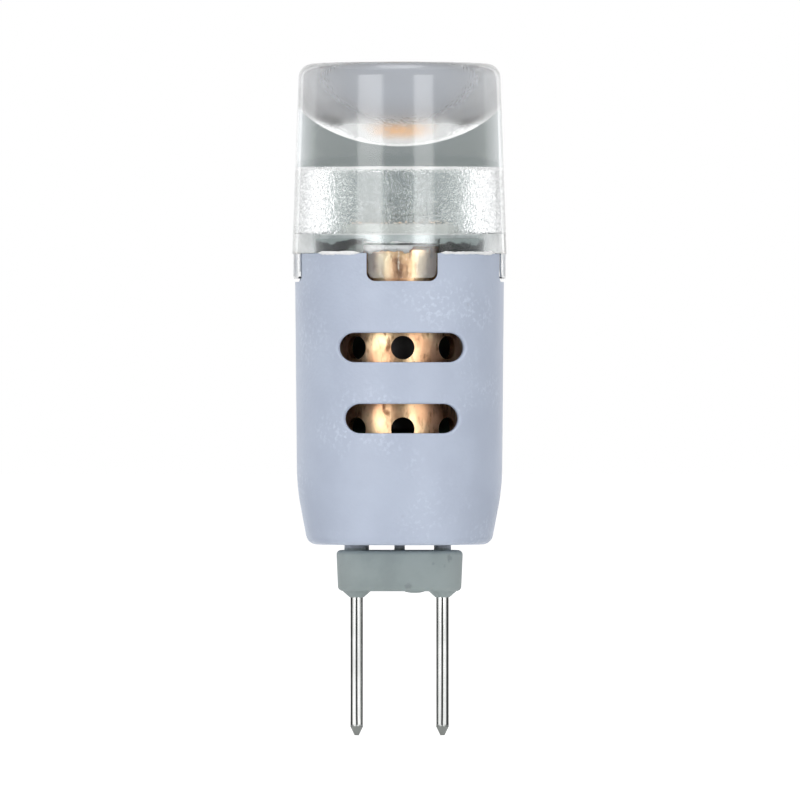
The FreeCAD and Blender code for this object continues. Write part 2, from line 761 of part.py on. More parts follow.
def make_pin_solder(side):
    """The solder round the end of a pin, up against the driver board."""
    title = f"PinSolder{side.title()}"
    across = SIDES[side] + PIN_OFFSET
    foot = f"{DRIVER_FOOT} + pin_solder_inset"
    around = rod(title + "Round", (across, "0", foot), "pin_solder_radius", "pin_solder_length")
    pin = box(title + "Pin", (f"{across} - pin_tail_side / 2", "-pin_tail_side / 2", foot),
              ("pin_tail_side", "pin_tail_side", "pin_solder_length"))
    board = box(title + "Board", (f"{across} - pin_solder_radius", DRIVER_FRONT, foot),
                ("2 * pin_solder_radius", "pin_solder_radius", "pin_solder_length"))
    return label(cut_away(title, around, joined(title + "Space", [pin, board])), f"pin_solder_{side}")


def make_lead_solder(name, foot, rotation=None):
    """A cone of solder round a lead wire."""
    title = name.title().replace("_", "")
    cone = doc.addObject("Part::Cone", title + "Cone")
    drive(cone, "Radius1", "lead_solder_root")
    drive(cone, "Radius2", "lead_solder_tip")
    drive(cone, "Height", "lead_solder_height")
    move(cone, foot, rotation)
    wire = rod(title + "Wire", foot, "lead_radius", "lead_solder_height", rotation)
    return label(cut_away(title, cone, wire), name)


def make_lead(side):
    """A lead wire: back off the driver board, round one bend and up through the lid to the LED board."""
    body = new_body(f"lead_wire_{side}")
    title = f"Lead{side.title()}"
    route = new_sketch(body, title + "Route", "YZ_Plane")
    drive(route, "AttachmentOffset.Base.y", LEAD_FOOT)
    off_board = Vector(size(DRIVER_BACK), 0, 0)
    bend_radius = size("lead_bend")
    centre = Vector(size("lead_back") - bend_radius, bend_radius, 0)
    end = Vector(size("lead_back"), size(f"{LEAD_TOP} - {LEAD_FOOT}"), 0)
    foot = route.addGeometry(Part.LineSegment(off_board, Vector(centre.x, 0, 0)))
    bend = route.addGeometry(Part.ArcOfCircle(
        Part.Circle(centre, Vector(0, 0, 1), bend_radius), -math.radians(90), 0))
    upright = route.addGeometry(Part.LineSegment(Vector(end.x, centre.y, 0), end))
    for first, second in ((foot, bend), (bend, upright)):
        route.addConstraint(Sketcher.Constraint("Tangent", first, 2, second, 1))
    route.addConstraint(Sketcher.Constraint("Horizontal", foot))
    route.addConstraint(Sketcher.Constraint("Vertical", upright))
    row = route.addConstraint(Sketcher.Constraint("Radius", bend, bend_radius))
    drive(route, f"Constraints[{row}]", "lead_bend")
    place_point(route, foot, 1, DRIVER_BACK, "0")
    place_point(route, upright, 2, "lead_back", f"{LEAD_TOP} - {LEAD_FOOT}")
    section = new_sketch(body, title + "Section", "XZ_Plane", f"-{DRIVER_BACK}")
    add_circle(section, "0", LEAD_FOOT, "lead_radius")
    pipe = body.newObject("PartDesign::AdditivePipe", title)
    pipe.Profile = section
    pipe.Spine = route
    return move(body, (f"{SIDES[side]}lead_spacing / 2", "0", "0"))


def make_subparts():
    """Every sub-part of the lamp, from the pins up."""
    subparts = [make_base_block(), make_sleeve(), make_heat_sink(), make_optic()]
    subparts += [make_board_seal(), make_led_dam(), make_led_phosphor()]
    subparts.append(make_plate(
        "thermal_glue", CAN_TOP, "glue_radius", "glue_thickness", "lead_radius + lead_gap"))
    subparts.append(make_plate(
        "led_board", LED_BOARD_FOOT, "led_board_radius", "led_board_thickness", "lead_radius + cast_gap"))
    for n, (across, back) in enumerate(QUADRANTS, start=1):
        subparts.append(make_led_die(f"led_die_{n}", across, back))
    subparts.append(make_driver_board())
    subparts.append(make_chip("rectifier_bridge", ((True, 0), (True, 1), (False, 0), (False, 1))))
    subparts.append(make_chip("driver_chip", ((True, 0.5), (False, 0), (False, 1))))
    subparts.append(make_coil_core())
    subparts.append(make_coil_winding())
    subparts.append(make_end_capped("input_capacitor", "capacitor", "input_capacitor_share"))
    subparts.append(make_end_capped("output_capacitor", "capacitor", "output_capacitor_share"))
    subparts.append(make_end_capped("freewheel_diode", "diode", "diode_share"))
    subparts.append(make_end_capped("sense_resistor", "resistor", "resistor_share"))
    for side, sign in SIDES.items():
        across = f"{sign}lead_spacing / 2"
        subparts.append(make_pin(side))
        subparts.append(make_pin_solder(side))
        subparts.append(make_lead(side))
        subparts.append(make_lead_solder(
            f"driver_solder_{side}", (across, DRIVER_BACK, LEAD_FOOT), BACKWARDS))
        subparts.append(make_lead_solder(f"led_solder_{side}", (across, "lead_back", LED_BOARD_TOP)))
    return subparts


def check(subparts):
    """Stops before anything is written if an object failed or a sub-part is no sound solid."""
    for thing in doc.Objects:
        if {"Invalid", "Error"} & set(thing.State):
            raise RuntimeError(f"{thing.Name} failed: {thing.State}")
    for subpart in subparts:
        shape = subpart.Shape
        if shape.isNull() or not shape.isValid() or len(shape.Solids) != 1:
            raise RuntimeError(f"{subpart.Label} is no sound solid")


def export(subparts):
    """Writes each sub-part under the name of its node."""
    os.makedirs("parts", exist_ok=True)
    for subpart in subparts:
        subpart.Shape.exportStep(f"parts/{subpart.Label}.step")


subparts = make_subparts()
doc.recompute()
check(subparts)
export(subparts)
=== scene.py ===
"""A small two-pin LED capsule lamp in a plain studio: its materials, fine details, light and camera.

Lengths are in metres. The lamp stands along Z, its pins side by side along X, and its front faces -Y.
"""
import json
import math

import bmesh
import bpy
from mathutils import Matrix, Vector, noise


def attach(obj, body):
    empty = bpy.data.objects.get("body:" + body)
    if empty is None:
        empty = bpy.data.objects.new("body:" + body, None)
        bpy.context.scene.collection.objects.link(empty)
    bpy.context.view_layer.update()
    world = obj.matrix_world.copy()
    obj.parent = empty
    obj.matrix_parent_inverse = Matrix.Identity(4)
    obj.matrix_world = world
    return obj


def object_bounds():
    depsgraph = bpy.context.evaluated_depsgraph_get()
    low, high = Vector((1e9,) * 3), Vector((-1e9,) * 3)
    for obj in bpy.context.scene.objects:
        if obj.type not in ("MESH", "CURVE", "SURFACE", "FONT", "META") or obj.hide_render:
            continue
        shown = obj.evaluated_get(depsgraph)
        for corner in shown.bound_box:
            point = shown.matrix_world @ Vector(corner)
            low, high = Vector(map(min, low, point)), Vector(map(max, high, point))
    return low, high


MM = 0.001

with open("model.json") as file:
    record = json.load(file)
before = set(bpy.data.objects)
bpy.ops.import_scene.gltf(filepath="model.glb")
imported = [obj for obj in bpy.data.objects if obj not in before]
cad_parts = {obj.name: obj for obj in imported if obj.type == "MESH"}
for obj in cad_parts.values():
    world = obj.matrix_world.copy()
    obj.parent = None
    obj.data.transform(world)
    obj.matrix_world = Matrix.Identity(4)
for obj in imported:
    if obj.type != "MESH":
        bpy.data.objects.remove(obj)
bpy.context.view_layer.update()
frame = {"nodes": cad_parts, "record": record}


def top_of(node):
    """The height of a node's highest point."""
    return max(vertex.co.z for vertex in frame["nodes"][node].data.vertices)


def foot_of(node):
    """The height of a node's lowest point."""
    return min(vertex.co.z for vertex in frame["nodes"][node].data.vertices)


def colour(red, green, blue):
    """A linear colour with full alpha."""
    return (red, green, blue, 1.0)


# The optic: radii of its faces, heights, distances across, depths of its relief and a roughness

OUTER_WALL = 4.0 * MM
INNER_FACES = 3.8 * MM
BOARD_FACE = top_of("led_board")
HOLLOW_TOP = BOARD_FACE + 3.1 * MM
BOWL_START = HOLLOW_TOP + 0.1 * MM
BOWL_FLOOR = 2.2 * MM
BOWL_SIDE = 3.0 * MM
CEILING_FOOT = HOLLOW_TOP - 0.06 * MM
CEILING_TOP = HOLLOW_TOP + 0.04 * MM
CEILING_JAG = 0.26 * MM
CALM_MIDDLE = 1.2 * MM
CALM_END = 2.4 * MM
HAMMER_DEPTH = 0.09 * MM
RIPPLE_DEPTH = 0.1 * MM
FROSTED_ROUGHNESS = 0.5

# Places on the copper cup: its seam and its two painted highlights, front and back

SEAM_ACROSS = -0.12 * MM
SEAM_INSIDE = 0.01 * MM
SEAM_OUTSIDE = 0.035 * MM
SEAM_FOOT = top_of("heat_sink") - 1.1 * MM
SEAM_FADE = 0.1 * MM
PAINTED_GLINT_LEFT = -0.75 * MM
PAINTED_GLINT_RIGHT = 0.95 * MM
PAINTED_GLINT_INSIDE = 0.18 * MM
PAINTED_GLINT_OUTSIDE = 0.42 * MM
PAINTED_GLINT_FOOT = SEAM_FOOT - 0.6 * MM
PAINTED_GLINT_TOP = SEAM_FOOT + 1.0 * MM
PAINTED_GLINT_FADE = 0.4 * MM

# Places on the board, the seal, the base block and the pins

MASK_FOOT = BOARD_FACE - 0.10 * MM
MASK_TOP = BOARD_FACE - 0.04 * MM
# The ragged line on the seal above which its painted shadow gives way
SHADOW_EDGE_FOOT = top_of("board_seal") + 0.24 * MM
SHADOW_EDGE_TOP = SHADOW_EDGE_FOOT + 0.12 * MM
SHADOW_EDGE_JAG = 0.9 * MM
# The base block's sides and its posts, where the resin is painted paler as painted light
BLOCK_MIDDLE = 1.6 * MM
BLOCK_END = 2.9 * MM
POST_FOOT = foot_of("sleeve") - 0.24 * MM
POST_FADE = 0.14 * MM
PIN_CUT = foot_of("pin_left") + 0.4 * MM
PIN_CUT_FADE = 0.15 * MM

# Colours that are laid over a finish

WHITE = colour(1.0, 1.0, 1.0)
# Painted shade tints for the optic's hollow and bowl
HOLLOW_SHADE_TINT = colour(0.66, 0.70, 0.69)
BOWL_SHADE_TINT = colour(0.39, 0.41, 0.45)
OUTER_TINT = colour(0.99, 1.0, 1.0)
FROST = colour(0.66, 0.73, 0.86)
DARK_SPECK = colour(0.25, 0.26, 0.31)
PALE_SPECK = colour(0.66, 0.71, 0.80)
BROWN_STAIN = colour(0.26, 0.11, 0.05)
BROWN_SPECK = colour(0.28, 0.13, 0.06)
PALE_SEAM = colour(0.98, 0.88, 0.76)
PAINTED_GLINT_COPPER = colour(1.0, 0.84, 0.58)
CUT_METAL = colour(0.22, 0.23, 0.22)
LIT_SIDE_RESIN = colour(0.40, 0.45, 0.45)
LIT_POST_RESIN = colour(0.62, 0.66, 0.74)
RESIN_SMUDGE = colour(0.12, 0.14, 0.14)
RESIN_SPECK = colour(0.70, 0.74, 0.73)
WHITE_MASK = colour(0.86, 0.87, 0.86)
ABOVE_SHADOW_SEAL = colour(0.38, 0.45, 0.44)


# Shader tools

def fill(node, **values):
    """Sets a node's inputs by name, with underscores for spaces; an output socket is linked instead."""
    for name, value in values.items():
        socket = node.inputs[name.replace("_", " ")]
        if isinstance(value, bpy.types.NodeSocket):
            node.id_data.links.new(value, socket)
        else:
            socket.default_value = value
    return node


def fill_in_order(node, sockets, values):
    """Sets or links a node's inputs in the order given."""
    for socket, value in zip(sockets, values):
        if isinstance(value, bpy.types.NodeSocket):
            node.id_data.links.new(value, socket)
        else:
            socket.default_value = value


def new_group(name, inputs, outputs):
    """An empty node group with named sockets, each given as (name, kind, default)."""
    group = bpy.data.node_groups.new(name, "ShaderNodeTree")
    for label, kind, default in inputs:
        socket = group.interface.new_socket(label, in_out="INPUT", socket_type="NodeSocket" + kind)
        if default is not None:
            socket.default_value = default
    for label, kind in outputs:
        group.interface.new_socket(label, in_out="OUTPUT", socket_type="NodeSocket" + kind)
    return group, group.nodes.new("NodeGroupInput"), group.nodes.new("NodeGroupOutput")


def arithmetic(tree, operation, first, second=0.0, third=0.0):
    """One Math node; returns its output."""
    node = tree.nodes.new("ShaderNodeMath")
    node.operation = operation
    fill_in_order(node, node.inputs, (first, second, third))
    return node.outputs[0]


def both(tree, first, second):
    """The product of two masks, or of a mask and a share."""
    return arithmetic(tree, "MULTIPLY", first, second)


def mixed_colour(tree, share, first, second):
    """A mix of two colours; returns its output."""
    node = tree.nodes.new("ShaderNodeMix")
    node.data_type = "RGBA"
    fill_in_order(node, (node.inputs[0], node.inputs[6], node.inputs[7]), (share, first, second))
    return node.outputs[2]


def laid_over(tree, base, over, mask, share):
    """A colour laid over a base by a share, where a mask is."""
    return mixed_colour(tree, both(tree, mask, share), base, over)


def smooth_range(tree, value, low, high, start=0.0, end=1.0):
    """A smooth step of a value between two limits."""
    node = tree.nodes.new("ShaderNodeMapRange")
    node.interpolation_type = "SMOOTHSTEP"
    fill_in_order(node, node.inputs, (value, low, high, start, end))
    return node.outputs[0]


def by_mask(tree, mask, start, end):
    """A value that goes from start to end as a mask goes from 0 to 1."""
    return smooth_range(tree, mask, 0.0, 1.0, start, end)


def noise_value(tree, place, scale, detail):
    """A noise pattern's value."""
    texture = tree.nodes.new("ShaderNodeTexNoise")
    return fill(texture, Vector=place, Scale=scale, Detail=detail).outputs["Fac"]


def drawn_place(tree, place, share):
    """Object coordinates with their heights scaled, so that a pattern is drawn out or squashed upwards."""
    mapping = tree.nodes.new("ShaderNodeMapping")
    return fill(mapping, Vector=place, Scale=(1.0, 1.0, share)).outputs[0]


def along(tree, place, axis):
    """One coordinate of a place: X, Y or Z."""
    split = tree.nodes.new("ShaderNodeSeparateXYZ")
    tree.links.new(place, split.inputs[0])
    return split.outputs[axis]


def aside(tree, place, middle=0.0):
    """The distance across, to either side of a line upwards."""
    return arithmetic(tree, "ABSOLUTE", arithmetic(tree, "SUBTRACT", along(tree, place, "X"), middle))


def axis_distance(tree, place):
    """The distance from the lamp's axis."""
    flat = tree.nodes.new("ShaderNodeVectorMath")
    flat.operation = "MULTIPLY"
    tree.links.new(place, flat.inputs[0])
    flat.inputs[1].default_value = (1.0, 1.0, 0.0)
    length = tree.nodes.new("ShaderNodeVectorMath")
    length.operation = "LENGTH"
    tree.links.new(flat.outputs[0], length.inputs[0])
    return length.outputs["Value"]


def cloud_group():
    """Soft clouds of noise between two colours."""
    inputs = [("Vector", "Vector", None), ("Scale", "Float", 500.0), ("Detail", "Float", 3.0),
              ("Low", "Float", 0.4), ("High", "Float", 0.6),
              ("Dark", "Color", colour(0.0, 0.0, 0.0)), ("Light", "Color", WHITE)]
    group, taken, given = new_group("clouds", inputs, [("Color", "Color"), ("Mask", "Float")])
    pattern = noise_value(group, taken.outputs["Vector"], taken.outputs["Scale"], taken.outputs["Detail"])
    mask = smooth_range(group, pattern, taken.outputs["Low"], taken.outputs["High"])
    fill(given, Color=mixed_colour(group, mask, taken.outputs["Dark"], taken.outputs["Light"]), Mask=mask)
    return group


def grain_group():
    """The fine relief of a moulded, cast or drawn face, as a normal."""
    inputs = [("Vector", "Vector", None), ("Scale", "Float", 4000.0), ("Strength", "Float", 0.2),
              ("Depth", "Float", 0.02 * MM)]
    group, taken, given = new_group("grain", inputs, [("Normal", "Vector")])
    pattern = noise_value(group, taken.outputs["Vector"], taken.outputs["Scale"], detail=2.0)
    bump = group.nodes.new("ShaderNodeBump")
    fill(bump, Strength=taken.outputs["Strength"], Distance=taken.outputs["Depth"], Height=pattern)
    fill(given, Normal=bump.outputs[0])
    return group


def speck_group():
    """Scattered small specks, as a mask."""
    inputs = [("Vector", "Vector", None), ("Scale", "Float", 1500.0), ("Size", "Float", 0.12),
              ("Share", "Float", 0.3)]
    group, taken, given = new_group("specks", inputs, [("Mask", "Float")])
    texture = group.nodes.new("ShaderNodeTexVoronoi")
    fill(texture, Vector=taken.outputs["Vector"], Scale=taken.outputs["Scale"])
    near = smooth_range(group, texture.outputs["Distance"], taken.outputs["Size"], 0.0)
    chosen = arithmetic(group, "LESS_THAN", texture.outputs["Color"], taken.outputs["Share"])
    fill(given, Mask=both(group, near, chosen))
    return group


CLOUDS = cloud_group()
GRAIN = grain_group()
SPECKS = speck_group()


def placed(tree, group, **values):
    """A node group placed in a material with its own values."""
    node = tree.nodes.new("ShaderNodeGroup")
    node.node_tree = group
    return fill(node, **values)


def new_material(name, **values):
    """A material with a Principled shader; returns it, its tree, the shader and the object coordinates."""
    material = bpy.data.materials.new(name)
    material.use_nodes = True
    tree = material.node_tree
    shader = tree.nodes["Principled BSDF"]
    fill(shader, **values)
    place = tree.nodes.new("ShaderNodeTexCoord").outputs["Object"]
    return material, tree, shader, place


# Finishes

def plain_finish(name, dark, light, roughness, metallic=0.0, grain=0.2):
    """A finish with soft clouds between two near colours and a fine grain."""
    material, tree, shader, place = new_material(name, Metallic=metallic)
    clouds = placed(tree, CLOUDS, Vector=place, Scale=1200.0, Low=0.35, High=0.65, Dark=dark, Light=light)
    relief = placed(tree, GRAIN, Vector=place, Scale=6000.0, Strength=grain)
    rough = by_mask(tree, clouds.outputs["Mask"], start=roughness * 0.9, end=roughness * 1.1)
    fill(shader, Base_Color=clouds.outputs["Color"], Normal=relief.outputs[0], Roughness=rough)
    return material


def clear_plastic():
    """Clear plastic: a smooth outer wall, and hammered inner faces tinted darker, as painted shade, to dim
    what is seen through them.
    """
    material, tree, shader, place = new_material(
        "clear_plastic", IOR=1.49, Transmission_Weight=1.0, Specular_IOR_Level=0.8)
    radius = axis_distance(tree, place)
    height = along(tree, place, "Z")
    inner = smooth_range(tree, radius, OUTER_WALL, INNER_FACES)
    bowl = smooth_range(tree, height, HOLLOW_TOP, BOWL_START)
    bowl_side = both(tree, bowl, smooth_range(tree, radius, BOWL_FLOOR, BOWL_SIDE))
    bowl_side = both(tree, bowl_side, inner)

    hammer = noise_value(tree, drawn_place(tree, place, share=0.6), scale=10500.0, detail=1.0)
    jagged = arithmetic(tree, "MULTIPLY_ADD", hammer, CEILING_JAG, height)
    under_bowl = both(tree, inner, arithmetic(tree, "SUBTRACT", 1.0, bowl))
    ceiling = both(tree, smooth_range(tree, jagged, CEILING_FOOT, CEILING_TOP), under_bowl)

    relief = both(tree, hammer, inner)
    relief = both(tree, relief, by_mask(tree, bowl_side, start=0.9, end=0.2))
    calm = smooth_range(tree, aside(tree, place), CALM_MIDDLE, CALM_END, start=0.45, end=0.8)
    relief = both(tree, relief, arithmetic(tree, "MAXIMUM", calm, bowl))
    bump = tree.nodes.new("ShaderNodeBump")
    fill(bump, Strength=0.4, Distance=HAMMER_DEPTH, Height=relief)
    faint = tree.nodes.new("ShaderNodeBump")
    ripple = noise_value(tree, place, scale=220.0, detail=1.0)
    fill(faint, Strength=0.15, Distance=RIPPLE_DEPTH, Height=ripple, Normal=bump.outputs[0])

    # Painted shade: the hollow's faces and, darker still, the bowl's are tinted; the ceiling's ragged ring
    # stays white
    inside = mixed_colour(tree, bowl, HOLLOW_SHADE_TINT, BOWL_SHADE_TINT)
    inside = mixed_colour(tree, ceiling, inside, WHITE)
    rough = by_mask(tree, inner, start=0.09, end=0.08)
    rough = arithmetic(tree, "MULTIPLY_ADD", bowl_side, FROSTED_ROUGHNESS, rough)
    rough = arithmetic(tree, "MULTIPLY_ADD", ceiling, FROSTED_ROUGHNESS, rough)
    base = mixed_colour(tree, inner, OUTER_TINT, inside)
    fill(shader, Base_Color=base, Roughness=rough, Normal=faint.outputs[0])
    return material


def sleeve_plastic():
    """Lavender-grey moulded plastic: matt grain, faint clouds, frosty patches, a few pale and dark specks."""
    material, tree, shader, place = new_material("lavender_grey_plastic", IOR=1.5)
    clouds = placed(tree, CLOUDS, Vector=place, Scale=350.0, Detail=4.0, Low=0.3, High=0.7,
                    Dark=colour(0.485, 0.545, 0.672), Light=colour(0.530, 0.595, 0.725))
    patches = placed(tree, CLOUDS, Vector=place, Scale=240.0, Detail=4.0, Low=0.50, High=0.68)
    frost = placed(tree, CLOUDS, Vector=place, Scale=5200.0, Detail=2.0, Low=0.48, High=0.70)
    frosty = both(tree, patches.outputs["Mask"], frost.outputs["Mask"])
    dark_specks = placed(tree, SPECKS, Vector=place, Scale=1300.0, Size=0.16, Share=0.14)
    pale_specks = placed(tree, SPECKS, Vector=place, Scale=1700.0, Size=0.14, Share=0.12)
    base = laid_over(tree, clouds.outputs["Color"], FROST, frosty, share=0.75)
    base = laid_over(tree, base, DARK_SPECK, dark_specks.outputs[0], share=0.3)
    base = laid_over(tree, base, PALE_SPECK, pale_specks.outputs[0], share=0.4)
    relief = placed(tree, GRAIN, Vector=place, Scale=5200.0, Strength=0.6, Depth=0.03 * MM)
    fill(shader, Base_Color=base, Roughness=0.42, Normal=relief.outputs[0])
    return material


def painted_glint_patch(tree, place, middle):
    """A mask of a painted highlight on the cup, front and back, round a line upwards."""
    height = along(tree, place, "Z")
    beside = smooth_range(tree, aside(tree, place, middle), PAINTED_GLINT_OUTSIDE, PAINTED_GLINT_INSIDE)
    low = smooth_range(tree, height, PAINTED_GLINT_FOOT, PAINTED_GLINT_FOOT + PAINTED_GLINT_FADE)
    high = smooth_range(tree, height, PAINTED_GLINT_TOP, PAINTED_GLINT_TOP - PAINTED_GLINT_FADE)
    return both(tree, beside, both(tree, low, high))


def stained_copper():
    """Drawn copper: orange-pink metal with brown stains, upright scuffs, a seam and two painted highlights.
    """
    material, tree, shader, place = new_material("stained_copper", Metallic=1.0)
    drawn = drawn_place(tree, place, share=0.45)
    clouds = placed(tree, CLOUDS, Vector=place, Scale=900.0, Detail=3.0, Low=0.35, High=0.65,
                    Dark=colour(0.78, 0.44, 0.25), Light=colour(0.98, 0.71, 0.42))
    stains = placed(tree, CLOUDS, Vector=drawn, Scale=3200.0, Detail=6.0, Low=0.50, High=0.72)
    specks = placed(tree, SPECKS, Vector=drawn, Scale=3000.0, Size=0.30, Share=0.22)
    base = laid_over(tree, clouds.outputs["Color"], BROWN_STAIN, stains.outputs["Mask"], share=0.8)
    base = laid_over(tree, base, BROWN_SPECK, specks.outputs[0], share=0.55)

    seam = smooth_range(tree, aside(tree, place, SEAM_ACROSS), SEAM_OUTSIDE, SEAM_INSIDE)
    above = smooth_range(tree, along(tree, place, "Z"), SEAM_FOOT, SEAM_FOOT + SEAM_FADE)
    base = mixed_colour(tree, both(tree, seam, above), base, PALE_SEAM)
    # Two painted highlights: the copper is made paler in upright patches where bright glints fall
    glints = arithmetic(tree, "MAXIMUM", painted_glint_patch(tree, place, PAINTED_GLINT_LEFT),
                        painted_glint_patch(tree, place, PAINTED_GLINT_RIGHT))
    glints = both(tree, glints, by_mask(tree, clouds.outputs["Mask"], start=0.7, end=1.0))
    base = laid_over(tree, base, PAINTED_GLINT_COPPER, glints, share=0.75)

    rough = by_mask(tree, stains.outputs["Mask"], start=0.33, end=0.5)
    relief = placed(tree, GRAIN, Vector=drawn, Scale=3500.0, Strength=0.4, Depth=0.03 * MM)
    fill(shader, Base_Color=base, Roughness=rough, Normal=relief.outputs[0])
    return material


def cast_resin():
    """Grey-green cast resin with smudges and specks; its sides and its posts are painted paler, as painted
    light.
    """
    material, tree, shader, place = new_material("grey_cast_resin", Roughness=0.6)
    clouds = placed(tree, CLOUDS, Vector=place, Scale=600.0, Detail=4.0, Low=0.35, High=0.65,
                    Dark=colour(0.275, 0.325, 0.325), Light=colour(0.325, 0.380, 0.380))
    smudges = placed(tree, CLOUDS, Vector=place, Scale=1500.0, Detail=5.0, Low=0.62, High=0.74)
    specks = placed(tree, SPECKS, Vector=place, Scale=1100.0, Size=0.14, Share=0.10)
    # Painted light: paler towards the block's rounded sides and on the shadowed posts
    sides = smooth_range(tree, aside(tree, place), BLOCK_MIDDLE, BLOCK_END, start=0.0, end=0.45)
    post = smooth_range(tree, along(tree, place, "Z"), POST_FOOT, POST_FOOT + POST_FADE)
    base = mixed_colour(tree, sides, clouds.outputs["Color"], LIT_SIDE_RESIN)
    base = mixed_colour(tree, post, base, LIT_POST_RESIN)
    base = laid_over(tree, base, RESIN_SMUDGE, smudges.outputs["Mask"], share=0.35)
    base = laid_over(tree, base, RESIN_SPECK, specks.outputs[0], share=0.6)
    relief = placed(tree, GRAIN, Vector=place, Scale=4200.0, Strength=0.5, Depth=0.03 * MM)
    fill(shader, Base_Color=base, Normal=relief.outputs[0])
    return material


def bright_pin():
    """Bright plated wire, drawn lengthways, with duller cut tips."""
    material, tree, shader, place = new_material("bright_plating", Metallic=1.0)
    clouds = placed(tree, CLOUDS, Vector=place, Scale=700.0, Detail=3.0, Low=0.35, High=0.7,
                    Dark=colour(0.60, 0.61, 0.60), Light=colour(0.72, 0.73, 0.72))
    tip = smooth_range(tree, along(tree, place, "Z"), PIN_CUT + PIN_CUT_FADE, PIN_CUT)
    base = mixed_colour(tree, tip, clouds.outputs["Color"], CUT_METAL)
    drawn = drawn_place(tree, place, share=0.06)
    relief = placed(tree, GRAIN, Vector=drawn, Scale=9000.0, Strength=0.06, Depth=0.01 * MM)
    rough = by_mask(tree, tip, start=0.05, end=0.3)
    fill(shader, Base_Color=base, Roughness=rough, Normal=relief.outputs[0])
    return material


def led_board_finish():
    """The LED board: a grey metal edge under a white solder mask."""
    material, tree, shader, place = new_material("led_board", Roughness=0.4)
    clouds = placed(tree, CLOUDS, Vector=place, Scale=1200.0, Low=0.35, High=0.65,
                    Dark=colour(0.40, 0.44, 0.44), Light=colour(0.52, 0.56, 0.56))
    mask = smooth_range(tree, along(tree, place, "Z"), MASK_FOOT, MASK_TOP)
    base = mixed_colour(tree, mask, clouds.outputs["Color"], WHITE_MASK)
    metal = by_mask(tree, mask, start=0.6, end=0.0)
    fill(shader, Base_Color=base, Metallic=metal)
    return material


def phosphor_finish():
    """Orange phosphor in clear silicone, with a faint painted glow."""
    material, tree, shader, place = new_material("orange_phosphor", Roughness=0.35, Emission_Strength=0.3)
    clouds = placed(tree, CLOUDS, Vector=place, Scale=1200.0, Low=0.35, High=0.65,
                    Dark=colour(0.85, 0.36, 0.06), Light=colour(0.97, 0.48, 0.10))
    fill(shader, Base_Color=clouds.outputs["Color"], Emission_Color=clouds.outputs["Color"])
    return material


def shadow_seal_finish():
    """A dark ring under the board whose near-black colour is painted shadow, paler in patches and above a
    ragged line where that shadow ends.
    """
    material, tree, shader, place = new_material("painted_shadow_seal", Roughness=0.35)
    squashed = drawn_place(tree, place, share=1.8)
    clouds = placed(tree, CLOUDS, Vector=squashed, Scale=650.0, Detail=5.0, Low=0.50, High=0.64,
                    Dark=colour(0.003, 0.005, 0.005), Light=colour(0.16, 0.20, 0.19))
    jags = noise_value(tree, place, scale=1000.0, detail=4.0)
    ragged = arithmetic(tree, "MULTIPLY_ADD", jags, SHADOW_EDGE_JAG, along(tree, place, "Z"))
    # Paler above a ragged line, where the painted shadow ends
    above_shadow = smooth_range(tree, ragged, SHADOW_EDGE_FOOT, SHADOW_EDGE_TOP, start=0.0, end=0.8)
    base = mixed_colour(tree, above_shadow, clouds.outputs["Color"], ABOVE_SHADOW_SEAL)
    relief = placed(tree, GRAIN, Vector=place, Scale=3000.0, Strength=0.5, Depth=0.04 * MM)
    fill(shader, Base_Color=base, Normal=relief.outputs[0])
    return material


MATERIALS = {
    "clear_plastic": clear_plastic(),
    "sleeve_plastic": sleeve_plastic(),
    "copper": stained_copper(),
    "base_resin": cast_resin(),
    "pin_metal": bright_pin(),
    "board_metal": led_board_finish(),
    # White glue, also used for the rim beads, whose white is a painted highlight
    "white_glue": plain_finish(
        "white_glue_and_rim_highlight", colour(0.90, 0.91, 0.91), colour(0.97, 0.97, 0.97), roughness=0.7, grain=0.6),
    # The seal's dark colour is painted shadow in the gap under the board
    "seal_rubber": shadow_seal_finish(),
    "white_silicone": plain_finish(
        "white_silicone", colour(0.82, 0.82, 0.80), colour(0.90, 0.90, 0.88), roughness=0.4),
    "phosphor": phosphor_finish(),
    "die": plain_finish(
        "blue_die", colour(0.15, 0.22, 0.45), colour(0.22, 0.32, 0.55), roughness=0.1),
    "solder": plain_finish(
        "solder", colour(0.55, 0.55, 0.54), colour(0.68, 0.68, 0.66), roughness=0.3, metallic=1.0),
    "tinned_wire": plain_finish(
        "tinned_wire", colour(0.58, 0.57, 0.55), colour(0.70, 0.69, 0.67), roughness=0.28, metallic=1.0),
    "board_laminate": plain_finish(
        "board_laminate", colour(0.012, 0.036, 0.014), colour(0.020, 0.055, 0.022), roughness=0.45),
    "chip_resin": plain_finish(
        "black_chip_resin", colour(0.012, 0.012, 0.012), colour(0.028, 0.028, 0.028), roughness=0.5),
    "ferrite": plain_finish(
        "ferrite", colour(0.035, 0.035, 0.038), colour(0.06, 0.06, 0.065), roughness=0.4),
    "winding": plain_finish(
        "enamelled_winding", colour(0.55, 0.22, 0.08), colour(0.78, 0.38, 0.17), roughness=0.25,
        metallic=1.0),
    "capacitor_body": plain_finish(
        "fired_capacitor", colour(0.35, 0.24, 0.14), colour(0.44, 0.31, 0.19), roughness=0.4),
    "diode_body": plain_finish(
        "diode_resin", colour(0.02, 0.02, 0.02), colour(0.04, 0.04, 0.04), roughness=0.45),
    "resistor_body": plain_finish(
        "resistor_film", colour(0.02, 0.02, 0.025), colour(0.045, 0.045, 0.05), roughness=0.3),
}

for subpart in frame["record"]["subparts"]:
    node = frame["nodes"][subpart["node"]]
    node.data.materials[0] = MATERIALS[subpart["material_slot"]]


# Mesh tools

